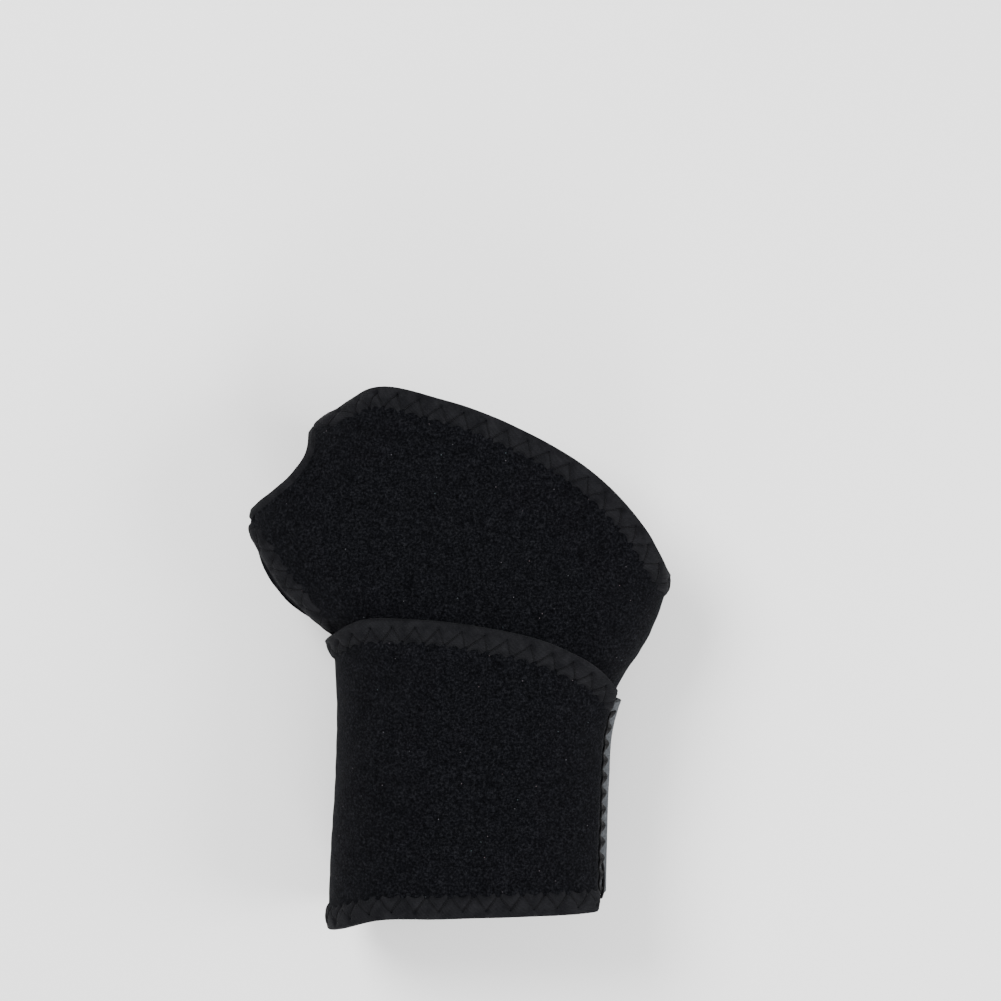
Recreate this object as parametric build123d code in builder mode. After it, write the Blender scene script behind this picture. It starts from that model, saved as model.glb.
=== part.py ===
"""Wraparound wrist support brace, closed as it is worn on a right hand.

One 80 mm band of foam laminate starts as a flap on the thumb side of the palm,
goes round the thumb through a hole, crosses the back of the hand, goes round the
little-finger side, across the palm side of the wrist, and comes back over the wrist
as a strap that ends in a hook tab.

+X is the little-finger side, +Y points to the fingers, +Z is the back of the hand.
The brace lies on its palm side, on z = 0. Lengths are in millimetres.
"""

from build123d import *
import math
import os

# Laminate: loop-pile cover, foam, jersey lining
COVER = 0.5
FOAM = 1.9
LINING = 0.4
LAMINATE = COVER + FOAM + LINING

# Edge binding, folded round every edge and standing proud of both faces
BINDING = 0.5
BINDING_WIDTH = 6.2
CLEARANCE = 0.3

# The strap lies over the hand panel and its bindings
STRAP_LIFT = 2 * BINDING + CLEARANCE
STRAP_OUTER = STRAP_LIFT + LAMINATE

# Hook tab: hook field below, woven backing above, and the thread that sews it on
TAB_LIFT = BINDING + CLEARANCE
HOOKS = 0.7
BACKING = 1.0
TAB_OUTER = TAB_LIFT + HOOKS + BACKING
TAB_LOW_EDGE = 13.0
TAB_HIGH_EDGE = 60.0
TAB_NEAR_Y = -30.5
TAB_FAR_Y = 22.5
TAB_CORNER = 5.0
TAB_MARGIN = 1.6
STITCH_PITCH = 4.5
STITCH_REACH = 3.0
STITCH_THREAD = 0.6

# Limb that the brace is wrapped round: squarish ovals about one centre height
AXIS_HEIGHT = 24.0
OVAL_POWER = 2.5
OVAL_POINTS = 28

# y, left side, right side, rise above and drop below the centre height,
# all to the outer face of the hand panel
STATIONS = [
    (-48, -35.6, 35.2, 21.3, 25.5),
    (-34, -35.6, 35.3, 21.3, 25.5),
    (-18, -34.9, 35.6, 21.4, 25.5),
    (0, -33.8, 36.2, 21.6, 25.5),
    (16, -33.3, 37.6, 21.9, 25.5),
    (28, -33.6, 42.0, 22.1, 25.5),
    (36, -34.6, 47.2, 22.2, 25.4),
    (41, -37.8, 50.0, 22.2, 25.1),
    (47, -47.4, 52.6, 22.0, 24.7),
    (54, -54.6, 54.6, 21.6, 24.0),
    (63, -59.2, 56.6, 21.0, 22.9),
    (75, -61.2, 58.8, 20.0, 21.4),
    (86, -55.8, 60.2, 18.6, 19.6),
    (97, -45.2, 61.0, 17.0, 17.8),
    (108, -34.6, 61.2, 15.6, 16.2),
    (118, -28.0, 61.0, 14.6, 15.0),
]

# Thumb hole, on the thumb side
HOLE_Y = 86.3
HOLE_HALF_LENGTH = 11.2
HOLE_HALF_HEIGHT = 11.0
HEM_WIDTH = 2.4

# The strap bends up off the palm band along this line, just outside the thumb side
FOLD_X = -42.6
FOLD_HEIGHT = AXIS_HEIGHT + 7.0

# Seam where the hook tab is sewn to the end of the strap
SEAM_POINT = Vector(37.6, -4.3, AXIS_HEIGHT + 12.5)
SEAM_AXIS = Vector(0.0636, 0.998, 0).normalized()
SEAM_OUTWARD = Vector(0.866, 0, 0.5)

BEYOND = 75.0    # past the sides of the limb
TALL = 140.0     # past everything

# Edges in plan. Each one has its panel on the left of its direction of travel,
# starts and ends at the side of the limb, and is carried on sideways from there.
HAND_FINGER_EDGE = [
    (54.9, 57.4), (50.1, 67.2), (36.1, 83.7), (13.7, 97.7),
    (-8.7, 106.1), (-28.3, 109.2), (-38.6, 102.4),
]
HAND_WRIST_EDGE = [
    (-59.8, 66.5), (-53.2, 55.5), (-45.4, 47.6), (-31.0, 34.5), (4.0, 1.0), (35.4, -31.0),
]
FLAP_EDGE = [
    (-59.8, 66.5), (-44.0, 68.5), (-28.0, 79.0), (-23.5, 90.5), (-29.0, 101.0), (-38.6, 102.4),
]
PALM_FINGER_EDGE = [(54.9, 57.4), (40.0, 53.2), (12.0, 48.5), (-20.0, 42.0), (-38.5, 39.2)]
PALM_ARM_EDGE = [(-39.6, -40.6), (-25.5, -35.4), (-8.7, -33.8), (13.7, -32.5), (35.4, -31.0)]
STRAP_FINGER_EDGE = [
    (41.4, 24.6), (37.0, 30.2), (24.9, 37.8), (2.5, 43.7), (-14.0, 45.4), (-30.0, 44.4), (-40.2, 39.2),
]
STRAP_ARM_EDGE = [(-39.8, -40.4), (-25.5, -35.8), (-8.7, -35.0), (13.7, -34.4), (33.3, -34.4)]


def oval(left, right, rise, drop):
    """Points of one squarish oval about the centre height."""
    centre = (left + right) / 2
    half_width = (right - left) / 2
    points = []
    for step in range(OVAL_POINTS):
        angle = 2 * math.pi * step / OVAL_POINTS
        across = math.copysign(abs(math.cos(angle)) ** (2 / OVAL_POWER), math.cos(angle))
        up = math.copysign(abs(math.sin(angle)) ** (2 / OVAL_POWER), math.sin(angle))
        height = rise if up > 0 else drop
        points.append((centre + half_width * across, AXIS_HEIGHT + height * up))
    return points


def spacing(points):
    """Where each point lies along its closed outline, from 0 to 1."""
    lengths = [math.dist(a, b) for a, b in zip(points, points[1:] + points[:1])]
    total = sum(lengths)
    return [sum(lengths[:count]) / total for count in range(len(points) + 1)]


# One spacing for every oval keeps the limb a light, even surface
OVAL_SPACING = spacing(oval(*STATIONS[0][1:]))


def limb(offset, lift=0.0):
    """The limb as one solid, moved outward by the offset and flat where it rests.

    The lift is added on the thumb side and the top only, so that a panel leaves the
    little-finger side level with the hand panel and arrives level with the strap.
    """
    with BuildPart() as body:
        for y, left, right, rise, drop in STATIONS:
            with BuildSketch(Plane.XZ.offset(-y)):
                with BuildLine():
                    grown = oval(left - offset - lift, right + offset, rise + offset + lift, drop + offset)
                    add(Edge.make_spline(
                        [Vector(*point) for point in grown], periodic=True, parameters=OVAL_SPACING,
                    ))
                make_face()
        loft()
        add(block((-TALL, -TALL, max(0.0, -offset)), (TALL, TALL, TALL)), mode=Mode.INTERSECT)
    return body.part


def moved_in(edge, distance):
    """An edge moved to the left of its direction of travel; its ends move along Y only."""
    moved = []
    last = len(edge) - 1
    for index, (x, y) in enumerate(edge):
        before = edge[max(index - 1, 0)]
        after = edge[min(index + 1, last)]
        run = (after[0] - before[0], after[1] - before[1])
        length = math.hypot(*run)
        if index in (0, last):
            moved.append((x, y + math.copysign(distance, run[0])))
        else:
            moved.append((x - distance * run[1] / length, y + distance * run[0] / length))
    return moved


def column(finger_edge, arm_edge, inset):
    """Upright prism between the two edges of a panel, both moved in by the inset."""
    far = moved_in(finger_edge, inset)
    near = moved_in(arm_edge, inset)
    with BuildPart() as prism:
        with BuildSketch(Plane.XY.offset(-TALL)):
            with BuildLine():
                Spline(*far)
                Polyline(far[-1], (-BEYOND, far[-1][1]), (-BEYOND, near[0][1]), near[0])
                Spline(*near)
                Polyline(near[-1], (BEYOND, near[-1][1]), (BEYOND, far[0][1]), far[0])
            make_face()
        extrude(amount=2 * TALL)
    return prism.part


def flap_column(inset):
    """Upright prism of the flap, open to the thumb side."""
    lobe = moved_in(FLAP_EDGE, inset)
    with BuildPart() as prism:
        with BuildSketch(Plane.XY.offset(-TALL)):
            with BuildLine():
                Spline(*lobe)
                Polyline(lobe[-1], (-BEYOND, lobe[-1][1]), (-BEYOND, lobe[0][1]), lobe[0])
            make_face()
        extrude(amount=2 * TALL)
    return prism.part


def block(low, high):
    """Plain block between two corners, used only to trim."""
    with BuildPart() as trim:
        with BuildSketch(Plane.XY.offset(low[2])):
            with Locations(((low[0] + high[0]) / 2, (low[1] + high[1]) / 2)):
                Rectangle(high[0] - low[0], high[1] - low[1])
        extrude(amount=high[2] - low[2])
    return trim.part


def hole_prism(grow):
    """Oval prism of the thumb hole, run in from the thumb side."""
    with BuildPart() as prism:
        with BuildSketch(Plane.YZ.offset(-BEYOND)):
            with Locations((HOLE_Y, AXIS_HEIGHT)):
                Ellipse(HOLE_HALF_LENGTH + grow, HOLE_HALF_HEIGHT + grow)
        extrude(amount=BEYOND - 10)
    return prism.part


def seam_side(gap):
    """Everything past the seam of the hook tab, on the tab's side."""
    seam = Plane(origin=SEAM_POINT, x_dir=SEAM_AXIS, z_dir=SEAM_AXIS.cross(SEAM_OUTWARD))
    with BuildPart() as side:
        with BuildSketch(seam.offset(gap)):
            Rectangle(2 * TALL, 60)
        extrude(amount=TALL)
    return side.part


ABOVE = block((-TALL, -TALL, AXIS_HEIGHT), (TALL, TALL, TALL))
FLAP_HALF = block((-TALL, -TALL, 0), (0, TALL, AXIS_HEIGHT))

with BuildPart() as palm_half_builder:
    add(block((-TALL, -TALL, 0), (TALL, TALL, AXIS_HEIGHT)))
    add(block((-TALL, -TALL, 0), (0, TALL, FOLD_HEIGHT)))
PALM_HALF = palm_half_builder.part

with BuildPart() as strap_half_builder:
    add(block((-TALL, -TALL, FOLD_HEIGHT + CLEARANCE), (TALL, TALL, TALL)))
    add(seam_side(-CLEARANCE / 2), mode=Mode.SUBTRACT)
STRAP_HALF = strap_half_builder.part


def sheet(outer, inner, lift, areas):
    """Sheet between two offsets of the limb, kept where all the areas agree."""
    with BuildPart() as made:
        add(limb(outer, lift))
        for area in areas:
            add(area, mode=Mode.INTERSECT)
        add(limb(inner, lift), mode=Mode.SUBTRACT)
    return made.part


def strip_between(outline, inner_outline, half, layers, lift, laminate):
    """Binding folded round the edges of a laminate, one solid for each edge."""
    outer, inner = layers
    with BuildPart() as folded:
        add(sheet(outer + BINDING, inner - BINDING, lift, [outline, half]))
        add(inner_outline, mode=Mode.SUBTRACT)
        add(laminate, mode=Mode.SUBTRACT)
    return folded.part.solids().sort_by(Axis.Y)


def save(part, name):
    """Label one finished piece and write it."""
    part.label = name
    export_step(part, f"parts/{name}.step")


os.makedirs("parts", exist_ok=True)

# Each layer as the depth of its outer and inner face below the outer face of the laminate
LAYERS = {
    "cover": (0.0, COVER),
    "foam": (COVER, COVER + FOAM),
    "lining": (COVER + FOAM, LAMINATE),
}
HAND_FACES = (0.0, -LAMINATE)
STRAP_FACES = (STRAP_OUTER, STRAP_LIFT)

hand_outline = column(HAND_FINGER_EDGE, HAND_WRIST_EDGE, BINDING)
palm_outline = column(PALM_FINGER_EDGE, PALM_ARM_EDGE, BINDING)
strap_outline = column(STRAP_FINGER_EDGE, STRAP_ARM_EDGE, BINDING)


def hand_and_flap(outer, inner):
    """Hand panel with the flap that carries on from it round the thumb side, and the hole."""
    with BuildPart() as panel:
        add(sheet(outer, inner, 0, [hand_outline, ABOVE]))
        add(sheet(outer, inner, 0, [flap_column(BINDING), FLAP_HALF]))
        add(hole_prism(BINDING), mode=Mode.SUBTRACT)
    return panel.part


# The three layers of the hand panel, the palm band and the strap
for layer, (top, bottom) in LAYERS.items():
    with BuildPart() as hand_layer:
        add(hand_and_flap(-top, -bottom))
    save(hand_layer.part, f"hand_{layer}")

    with BuildPart() as palm_layer:
        add(sheet(-top, -bottom, STRAP_OUTER, [palm_outline, PALM_HALF]))
    save(palm_layer.part, f"palm_{layer}")

    with BuildPart() as strap_layer:
        add(sheet(STRAP_OUTER - top, STRAP_OUTER - bottom, 0, [strap_outline, STRAP_HALF]))
    save(strap_layer.part, f"strap_{layer}")

# Bindings of the hand panel, on its finger edge and its wrist edge
hand_laminate = hand_and_flap(*HAND_FACES)
hand_strips = strip_between(
    column(HAND_FINGER_EDGE, HAND_WRIST_EDGE, 0),
    column(HAND_FINGER_EDGE, HAND_WRIST_EDGE, BINDING_WIDTH),
    ABOVE, HAND_FACES, 0, hand_laminate,
)
with BuildPart() as hand_wrist_binding:
    add(hand_strips[0])
    add(hole_prism(0), mode=Mode.SUBTRACT)
save(hand_wrist_binding.part, "hand_wrist_binding")

with BuildPart() as hand_finger_binding:
    add(hand_strips[-1])
    add(hole_prism(0), mode=Mode.SUBTRACT)
save(hand_finger_binding.part, "hand_finger_binding")

# Binding round the free end of the flap
with BuildPart() as flap_binding:
    add(strip_between(
        flap_column(0), flap_column(BINDING_WIDTH), FLAP_HALF, HAND_FACES, 0, hand_laminate,
    )[0])
    add(hole_prism(0), mode=Mode.SUBTRACT)
save(flap_binding.part, "flap_binding")

# Narrow hem round the thumb hole
with BuildPart() as thumb_hole_hem:
    add(sheet(BINDING, -LAMINATE - BINDING, 0, [hole_prism(HEM_WIDTH)]))
    add(hole_prism(0), mode=Mode.SUBTRACT)
    add(hand_laminate, mode=Mode.SUBTRACT)
    for neighbour in (hand_wrist_binding, hand_finger_binding, flap_binding):
        add(neighbour.part, mode=Mode.SUBTRACT)
save(thumb_hole_hem.part, "thumb_hole_hem")

# Bindings of the palm band, on its finger edge and its forearm edge
palm_strips = strip_between(
    column(PALM_FINGER_EDGE, PALM_ARM_EDGE, 0),
    column(PALM_FINGER_EDGE, PALM_ARM_EDGE, BINDING_WIDTH),
    PALM_HALF, HAND_FACES, STRAP_OUTER,
    sheet(*HAND_FACES, STRAP_OUTER, [palm_outline, PALM_HALF]),
)
with BuildPart() as palm_arm_binding:
    add(palm_strips[0])
save(palm_arm_binding.part, "palm_arm_binding")

with BuildPart() as palm_finger_binding:
    add(palm_strips[-1])
save(palm_finger_binding.part, "palm_finger_binding")

# Bindings of the strap, on its finger edge and its forearm edge
strap_strips = strip_between(
    column(STRAP_FINGER_EDGE, STRAP_ARM_EDGE, 0),
    column(STRAP_FINGER_EDGE, STRAP_ARM_EDGE, BINDING_WIDTH),
    STRAP_HALF, STRAP_FACES, 0,
    sheet(*STRAP_FACES, 0, [strap_outline, STRAP_HALF]),
)
with BuildPart() as strap_arm_binding:
    add(strap_strips[0])
save(strap_arm_binding.part, "strap_arm_binding")

with BuildPart() as strap_finger_binding:
    add(strap_strips[-1])
save(strap_finger_binding.part, "strap_finger_binding")


def tab_area(margin):
    """Rounded outline of the hook tab, seen from the little-finger side."""
    with BuildPart() as area:
        with BuildSketch(Plane.YZ):
            with Locations(((TAB_NEAR_Y + TAB_FAR_Y) / 2, (TAB_LOW_EDGE + TAB_HIGH_EDGE) / 2)):
                RectangleRounded(
                    TAB_FAR_Y - TAB_NEAR_Y - 2 * margin,
                    TAB_HIGH_EDGE - TAB_LOW_EDGE - 2 * margin,
                    TAB_CORNER,
                )
        extrude(amount=BEYOND)
    return area.part


# Woven backing of the hook tab
with BuildPart() as tab_backing:
    add(sheet(TAB_OUTER, TAB_OUTER - BACKING, 0, [tab_area(0), seam_side(CLEARANCE / 2)]))
save(tab_backing.part, "tab_backing")

# Hook field under the backing, set in from its edges
with BuildPart() as tab_hooks:
    add(sheet(TAB_LIFT + HOOKS, TAB_LIFT, 0, [tab_area(TAB_MARGIN), seam_side(TAB_MARGIN)]))
save(tab_hooks.part, "tab_hooks")

# Zigzag thread that sews the tab under the end of the strap
with BuildPart() as zigzag:
    with BuildSketch(Plane(origin=SEAM_POINT, x_dir=SEAM_AXIS, z_dir=SEAM_OUTWARD)):
        with BuildLine() as thread:
            turns = int((TAB_FAR_Y - TAB_NEAR_Y) / STITCH_PITCH) * 2
            start = -turns * STITCH_PITCH / 4
            Polyline(*[
                (start + turn * STITCH_PITCH / 2, 1.0 + STITCH_REACH * (turn % 2))
                for turn in range(turns + 1)
            ])
        trace(line_width=STITCH_THREAD)
    extrude(amount=12, both=True)

with BuildPart() as tab_stitching:
    add(sheet(STRAP_OUTER + BINDING, STRAP_OUTER, 0, [zigzag.part, STRAP_HALF]))
    for neighbour in (strap_arm_binding, strap_finger_binding):
        add(neighbour.part, mode=Mode.SUBTRACT)
save(tab_stitching.part, "tab_stitching")
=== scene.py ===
import math

import bmesh
import bpy
import numpy as np
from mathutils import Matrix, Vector


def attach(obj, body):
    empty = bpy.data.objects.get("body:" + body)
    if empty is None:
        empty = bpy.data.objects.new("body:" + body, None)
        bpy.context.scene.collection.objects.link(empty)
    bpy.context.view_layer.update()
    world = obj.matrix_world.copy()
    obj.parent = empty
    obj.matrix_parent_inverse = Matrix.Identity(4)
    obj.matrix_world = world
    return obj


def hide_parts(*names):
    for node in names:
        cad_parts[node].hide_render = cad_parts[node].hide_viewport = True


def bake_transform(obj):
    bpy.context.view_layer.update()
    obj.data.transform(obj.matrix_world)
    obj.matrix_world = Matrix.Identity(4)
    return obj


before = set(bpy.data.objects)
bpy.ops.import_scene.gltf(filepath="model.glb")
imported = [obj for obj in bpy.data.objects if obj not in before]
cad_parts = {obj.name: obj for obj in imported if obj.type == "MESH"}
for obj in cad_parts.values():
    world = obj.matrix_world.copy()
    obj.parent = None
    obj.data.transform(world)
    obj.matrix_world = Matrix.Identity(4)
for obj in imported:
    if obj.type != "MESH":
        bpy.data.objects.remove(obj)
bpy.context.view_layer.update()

# ---------------------------------------------------------------- driving sizes, in millimetres
MM = 0.001

# Layers of the laminate, from the outside in
COVER = 0.5
FOAM = 1.9
LINING = 0.4
LAMINATE = COVER + FOAM + LINING
STRAP_OUTER = 4.1        # outer face of the strap above the outer face of the hand panel

AXIS_HEIGHT = 24.0
OVAL_POWER = 2.5

# The limb inside the brace: y, left side, right side, rise above and drop below the axis height
STATIONS = np.array([
    (-48, -35.6, 35.2, 21.3, 25.5),
    (-34, -35.6, 35.3, 21.3, 25.5),
    (-18, -34.9, 35.6, 21.4, 25.5),
    (0, -33.8, 36.2, 21.6, 25.5),
    (16, -33.3, 37.6, 21.9, 25.5),
    (28, -33.6, 42.0, 22.1, 25.5),
    (36, -34.6, 47.2, 22.2, 25.4),
    (41, -37.8, 50.0, 22.2, 25.1),
    (47, -47.4, 52.6, 22.0, 24.7),
    (54, -54.6, 54.6, 21.6, 24.0),
    (63, -59.2, 56.6, 21.0, 22.9),
    (75, -61.2, 58.8, 20.0, 21.4),
    (86, -55.8, 60.2, 18.6, 19.6),
    (97, -45.2, 61.0, 17.0, 17.8),
    (108, -34.6, 61.2, 15.6, 16.2),
    (118, -28.0, 61.0, 14.6, 15.0),
])

# Edges of the band in plan
HAND_FINGER_EDGE = [
    (-38.6, 102.4), (-28.3, 109.2), (-8.7, 106.1), (13.7, 97.7),
    (36.1, 83.7), (50.1, 67.2), (54.9, 57.4),
]
HAND_WRIST_EDGE = [
    (35.4, -31.0), (4.0, 1.0), (-31.0, 34.5), (-45.4, 47.6), (-53.2, 55.5), (-59.8, 66.5),
]
FLAP_EDGE = [
    (-59.8, 66.5), (-44.0, 68.5), (-28.0, 79.0), (-23.5, 90.5), (-29.0, 101.0), (-38.6, 102.4),
]
PALM_FINGER_EDGE = [(54.9, 57.4), (40.0, 53.2), (12.0, 48.5), (-20.0, 42.0), (-38.5, 39.2)]
PALM_ARM_EDGE = [(-39.6, -40.5), (-25.5, -35.4), (-8.7, -33.8), (13.7, -32.5), (35.4, -31.0)]
STRAP_FINGER_EDGE = [
    (-40.2, 39.2), (-30.0, 44.4), (-14.0, 45.4), (2.5, 43.7), (24.9, 37.8), (37.0, 30.2), (41.4, 24.6),
]
STRAP_ARM_EDGE = [(33.3, -34.4), (13.7, -34.4), (-8.7, -35.0), (-25.5, -35.8), (-39.8, -40.5)]

# Heights at which the band bends, is sewn or ends on its side walls, with the limb's rise or drop there
FOLD_HEIGHT = 31.0       # where the strap bends up off the palm band
FOLD_RISE = 21.8
SEAM_HEIGHT = 36.5       # where the hook tab is sewn to the end of the strap
SEAM_RISE = 21.6
TAB_LOW_HEIGHT = 13.0
TAB_DROP = 25.5

# Thumb hole
HOLE_Y = 86.3
HOLE_HALF_LENGTH = 11.2
HOLE_HALF_HEIGHT = 11.0
HOLE_CUT_X = (-80, -12)  # reach of the cut, through the thumb side alone
HOLE_CUT_SIDES = 120
HEM_SIDES = 180

# Bindings, and the hem of the thumb hole
BINDING = 0.5
BINDING_WIDTH = 6.2
BINDING_LIP = 0.45       # how far a binding stands out past the edge
HEM_WIDTH = 2.4
HEM_LIP = 0.35
LEG_POINTS = 15          # points across each side of a binding
FOLD_POINTS = 9          # points round its folded edge
FOLD_SWELL = 0.40        # how much the folded edge is thicker than the laminate, on each side
FOLD_RIM = (1.2, 0.42)   # reach and height of a binding next to its folded edge
TUCK = (0.7, 0.06)       # reach and depth with which its other edge is drawn into the cloth
INNER_SHARE = 0.7        # height of a binding on the inner face, against the outer face
SCALLOP = 0.65           # how far that other edge waves between stitches

# Zigzag of thread on the bindings
ZIGZAG_PITCH = 6.5
ZIGZAG_NEAR = 1.7        # needle rows, from the folded edge
ZIGZAG_FAR = 5.9
THREAD_RADIUS = 0.14
THREAD_SIDES = 6
LEG_STEPS = 8            # points of thread from one needle hole to the next

# Hook tab
TAB_OUTER = 2.5
TAB_BACKING = 1.0
TAB_NEAR_Y = -30.5
TAB_FAR_Y = 22.5
TAB_CORNER = 5.0
TAB_UNDER_STRAP = 1.2    # how far the backing reaches under the end of the strap
TAB_GRID = 0.9
TAB_ROWS = 48
HOOK_BASE = 0.2          # thickness of the base that carries the hooks
HOOK_BASE_START = 1.6    # past the seam
HOOK_BASE_MARGIN = 1.5
HOOK_START = 2.4         # past the seam
HOOK_MARGIN = 1.9
HOOK_PITCH = 1.45
# A hook: reach along the band, height above the base and half width, from root to tip
HOOK_SHAPE = [(0, 0.0, 0.17), (0.02, 0.25, 0.13), (0.16, 0.43, 0.11), (0.34, 0.40, 0.09), (0.40, 0.24, 0.05)]

# Satin zigzag that sews the strap to the tab
SEAM_PITCH = 4.5
SEAM_THREAD_RADIUS = 0.34
SEAM_INSET = (1.0, 0.6)  # from the near and far ends of the tab
SEAM_STRANDS = ((1.7, 3.5), (1.9, 2.5), (2.0, 1.5), (2.1, 0.5))    # reach onto the strap and onto the tab
SEAM_STEP = 0.5          # over which the thread steps down off the strap
# Loose end of the seam: past the seam, y, and height above the face
SEAM_TAIL = np.array([
    (1.4, -20.5, 0.1), (2.5, -23.5, 0.3), (2.8, -26.5, 0.4),
    (2.3, -29.2, 0.5), (1.2, -30.4, 0.7), (0.1, -31.2, 0.9),
])
SEAM_TAIL_RADIUS = 0.42
SEAM_TAIL_POINTS = 40
SEAM_MIDDLE_Y = -4.3
SEAM_RUN = np.array([0.0636, 0.998, 0.0])
SEAM_BEND_REACH = (0.6, 5.0)    # where the bend of the tab starts and ends, above and below the seam

GRID = 1.25              # spacing of the sheets' grids
EDGE_STEP = 0.5          # spacing along bindings
WRAP_KINK_REACH = 2.5    # over which the kinks between edges are smoothed
STRAP_KINK_REACH = 1.5
LEAST_WIDTH = 0.2        # width a sheet keeps at its tip
TIP_INSET = 0.35         # of the sheets, from the tip of the flap's edge
STRAP_PRESS_REACH = 4.0  # over which stitching flattens the end of the strap
STRAP_PRESSED = 0.46     # thickness it leaves there, as a share
SWELL_PHASE = 1.0
PRESSED_HEIGHT = 0.4     # below this, cloth is pressed flat by the floor


# ---------------------------------------------------------------- the limb as a surface
def smooth_through(knots, values, at):
    """Smooth curve through the values at the knots, read off at the given places."""
    knots, values = np.asarray(knots, float), np.asarray(values, float)
    gap = np.diff(knots)
    slope = np.diff(values, axis=0) / gap[:, None]
    tangent = np.empty_like(values)
    tangent[1:-1] = (slope[:-1] * gap[1:, None] + slope[1:] * gap[:-1, None]) / (gap[:-1] + gap[1:])[:, None]
    tangent[0], tangent[-1] = slope[0], slope[-1]
    at = np.asarray(at, float)
    i = np.clip(np.searchsorted(knots, at, side="right") - 1, 0, len(knots) - 2)
    t = ((at - knots[i]) / gap[i])[:, None]
    g = gap[i][:, None]
    return (
        (1 + 2 * t) * (1 - t) ** 2 * values[i] + t * (1 - t) ** 2 * g * tangent[i]
        + t * t * (3 - 2 * t) * values[i + 1] + t * t * (t - 1) * g * tangent[i + 1]
    )


def limb(turn, y, grow=None):
    """Points on the brace's outer face, in millimetres.

    turn is the angle along the band, in degrees: 0 at the thumb side, over the back of
    the hand to 180 at the little-finger side, across the palm to 360 at the thumb side
    again, and on over the wrist as the strap. With grow, the face is that far outside
    the hand panel's all round instead. The palm side is flat where it meets the floor.
    """
    turn, y = np.broadcast_arrays(np.asarray(turn, float), np.asarray(y, float))
    shape = turn.shape
    turn, y = turn.ravel(), y.ravel()
    left, right, rise, drop = smooth_through(STATIONS[:, 0], STATIONS[:, 1:], y).T
    if grow is None:
        left = left - STRAP_OUTER * (turn > 180)
        right = right + STRAP_OUTER * (turn > 360)
        rise = rise + STRAP_OUTER * (turn > 270)
        drop = drop + STRAP_OUTER * (turn > 450)
    else:
        left, right, rise, drop = left - grow, right + grow, rise + grow, drop + grow
    angle = np.radians(180 - turn)
    across = np.sign(np.cos(angle)) * np.abs(np.cos(angle)) ** (2 / OVAL_POWER)
    up = np.sign(np.sin(angle)) * np.abs(np.sin(angle)) ** (2 / OVAL_POWER)
    x = (left + right) / 2 + (right - left) / 2 * across
    z = AXIS_HEIGHT + np.where(up > 0, rise, drop) * up
    return np.stack([x, y, np.maximum(z, 0)], -1).reshape(shape + (3,))


# Distance along the band, measured round the wrist, against turn
REFERENCE_Y = 20.0
TURNS = np.arange(-120.0, 620.0, 0.02)
ROUND = limb(TURNS, REFERENCE_Y)
ALONG = np.concatenate([[0], np.cumsum(np.linalg.norm(np.diff(ROUND, axis=0), axis=1))])
ALONG -= np.interp(0, TURNS, ALONG)


def along(turn):
    """Distance along the band at a turn."""
    return np.interp(turn, TURNS, ALONG)


def at(u, y, grow=None):
    """Outer face at distance u along the band."""
    return limb(np.interp(u, ALONG, TURNS), y, grow)


def frame_at(u, y, grow=None):
    """Point, outward normal, and the two directions of the surface, per millimetre of u and y."""
    h = 0.4
    point = at(u, y, grow)
    du = (at(u + h, y, grow) - at(u - h, y, grow)) / (2 * h)
    dy = (at(u, y + h, grow) - at(u, y - h, grow)) / (2 * h)
    normal = np.cross(du, dy)
    normal /= np.linalg.norm(normal, axis=-1, keepdims=True)
    return point, normal, du, dy


def cloth_face(u, y):
    """Points on the outer face with the slow unevenness of soft cloth, and their normals."""
    point, normal, _, _ = frame_at(u, y)
    x, y, z = point[..., 0], point[..., 1], point[..., 2]
    wave = (
        0.14 * np.sin(0.21 * x + 0.13 * y + SWELL_PHASE) * np.sin(0.17 * y - 0.11 * z + 2.1 * SWELL_PHASE)
        + 0.09 * np.sin(0.43 * x - 0.31 * y + 0.2 * z + 1.7 * SWELL_PHASE)
        + 0.05 * np.sin(0.9 * y + 0.35 * x + 0.6 * z + SWELL_PHASE)
    )
    return point + normal * wave[..., None], normal


def turn_of(x, y, side):
    """Turn at which the band passes a plan position; side is top, palm, flap or strap."""
    walls = {"top": (0, 180), "palm": (360, 180.001), "flap": (0, 180), "strap": (360, 540)}
    left_turn, right_turn = walls[side]
    left, right = limb(left_turn, y)[..., 0], limb(right_turn, y)[..., 0]
    across = np.clip((x - (left + right) / 2) / ((right - left) / 2), -1, 1)
    angle = np.degrees(np.arccos(np.sign(across) * np.abs(across) ** (OVAL_POWER / 2)))
    return {"top": 180 - angle, "palm": 180 + angle, "flap": angle - 180, "strap": 540 - angle}[side]


def height_turn(height, way, rise, base):
    """Turn at which the band is at a height on a side wall, way being 1 past the base turn and -1 before."""
    up = (height - AXIS_HEIGHT) / rise
    return base + way * math.degrees(math.asin(abs(up) ** (OVAL_POWER / 2)))


# ---------------------------------------------------------------- edges of the band, as (u, y)
def plan_curve(points, steps=160):
    """Smooth curve through plan points."""
    points = np.array(points, float)
    chord = np.concatenate([[0], np.cumsum(np.linalg.norm(np.diff(points, axis=0), axis=1))])
    return smooth_through(chord, points, np.linspace(0, chord[-1], steps))


def edge_path(edge, side, start_turn, end_turn):
    """An edge as (u, y), carried on to the given turns, or for the strap cut off at them."""
    curve = plan_curve(edge)
    turns = turn_of(curve[:, 0], curve[:, 1], side)
    first, last = curve[0, 1], curve[-1, 1]
    if side == "strap":
        order = np.argsort(turns)
        first, last = np.interp([start_turn, end_turn], turns[order], curve[order, 1])
        inside = (turns - start_turn) * (turns - end_turn) < 0
        curve, turns = curve[inside], turns[inside]
    u = np.concatenate([[along(start_turn)], along(turns), [along(end_turn)]])
    y = np.concatenate([[first], curve[:, 1], [last]])
    return np.stack([u, y], -1)


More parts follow.
